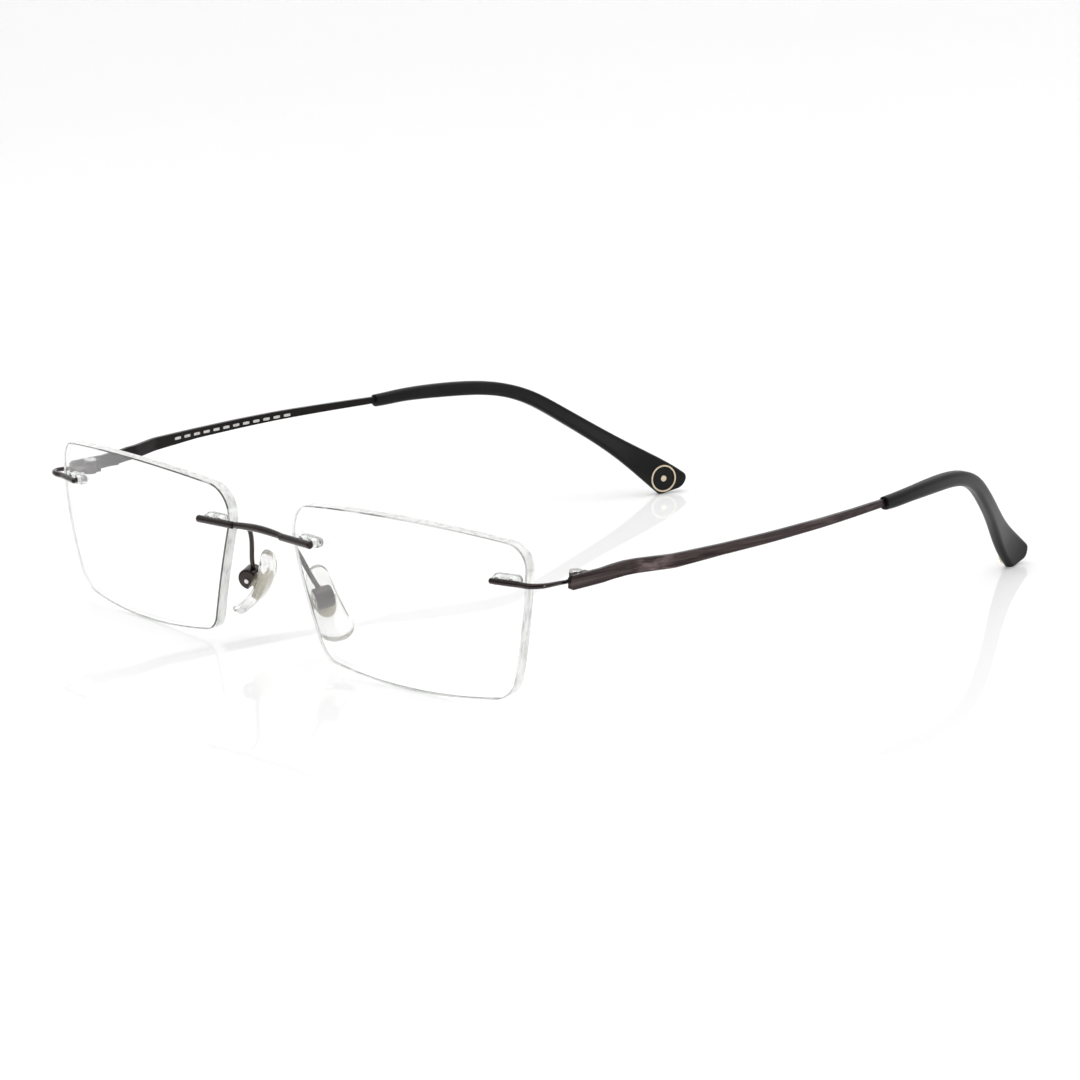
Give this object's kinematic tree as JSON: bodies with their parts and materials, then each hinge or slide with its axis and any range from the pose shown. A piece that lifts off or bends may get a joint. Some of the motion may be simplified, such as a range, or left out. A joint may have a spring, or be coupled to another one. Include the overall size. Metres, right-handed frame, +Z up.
{
  "type": "rimless eyeglasses",
  "caption": "Rimless eyeglasses: clear lenses pinned to a wire bridge and wire end pieces, rocking nose pads, slim metal temples that fold on hinges, black ear sleeves.",
  "frame": {"origin": "middle of the footprint, on the table that the lenses' lower edges and the temple tips stand on", "axes": "+Z up, -Y the way the wearer looks (the lenses' front), +X the wearer's left"},
  "size_m": [0.1442, 0.1454, 0.0298],
  "materials": {
    "metal": "dark plum-brown gloss",
    "satin_metal": "satin, brushed lengthways",
    "steel": "bright turned screws",
    "lens": "clear, polished edges",
    "clear_plastic": "clear moulded plastic",
    "silicone": "clear soft silicone",
    "core": "beige-silver pressed plate",
    "sleeve": "satin black",
    "gold": "pale gold inlay"
  },
  "bodies": {
    "front": {"bridge": "metal", "lens_left": "lens", "nose_bushing_left": "clear_plastic", "temple_bushing_left": "clear_plastic", "end_piece_left": "metal", "pad_arm_left": "metal", "pad_box_left": "metal", "pad_screw_left": "steel", "lens_right": "lens", "nose_bushing_right": "clear_plastic", "temple_bushing_right": "clear_plastic", "end_piece_right": "metal", "pad_arm_right": "metal", "pad_box_right": "metal", "pad_screw_right": "steel"},
    "pad_left_body": {"nose_pad_left": "silicone", "pad_core_left": "core"},
    "temple_left_body": {"temple_left": "satin_metal", "hinge_leaf_left": "metal", "hinge_screw_left": "steel", "ear_sleeve_left": "sleeve", "tip_ring_left": "gold", "tip_stud_left": "gold"},
    "pad_right_body": {"nose_pad_right": "silicone", "pad_core_right": "core"},
    "temple_right_body": {"temple_right": "satin_metal", "hinge_leaf_right": "metal", "hinge_screw_right": "steel", "ear_sleeve_right": "sleeve", "tip_ring_right": "gold", "tip_stud_right": "gold"}
  },
  "joints": [
    {"name": "temple_left_fold", "type": "hinge", "parent": "front", "child": "temple_left_body", "pos_m": [0.06575, -0.05728, 0.0218], "axis": [0, 0, 1], "range_deg": [0, 82]},
    {"name": "temple_right_fold", "type": "hinge", "parent": "front", "child": "temple_right_body", "pos_m": [-0.06575, -0.05728, 0.0218], "axis": [0, 0, -1], "range_deg": [0, 76]},
    {"name": "pad_left_rock", "type": "hinge", "parent": "front", "child": "pad_left_body", "pos_m": [0.01074, -0.06459, 0.01094], "axis": [0.383, 0.9009, 0.2041], "range_deg": [-5, 5]},
    {"name": "pad_right_rock", "type": "hinge", "parent": "front", "child": "pad_right_body", "pos_m": [-0.01074, -0.06459, 0.01094], "axis": [-0.383, 0.9009, 0.2041], "range_deg": [-5, 5]}
  ]
}
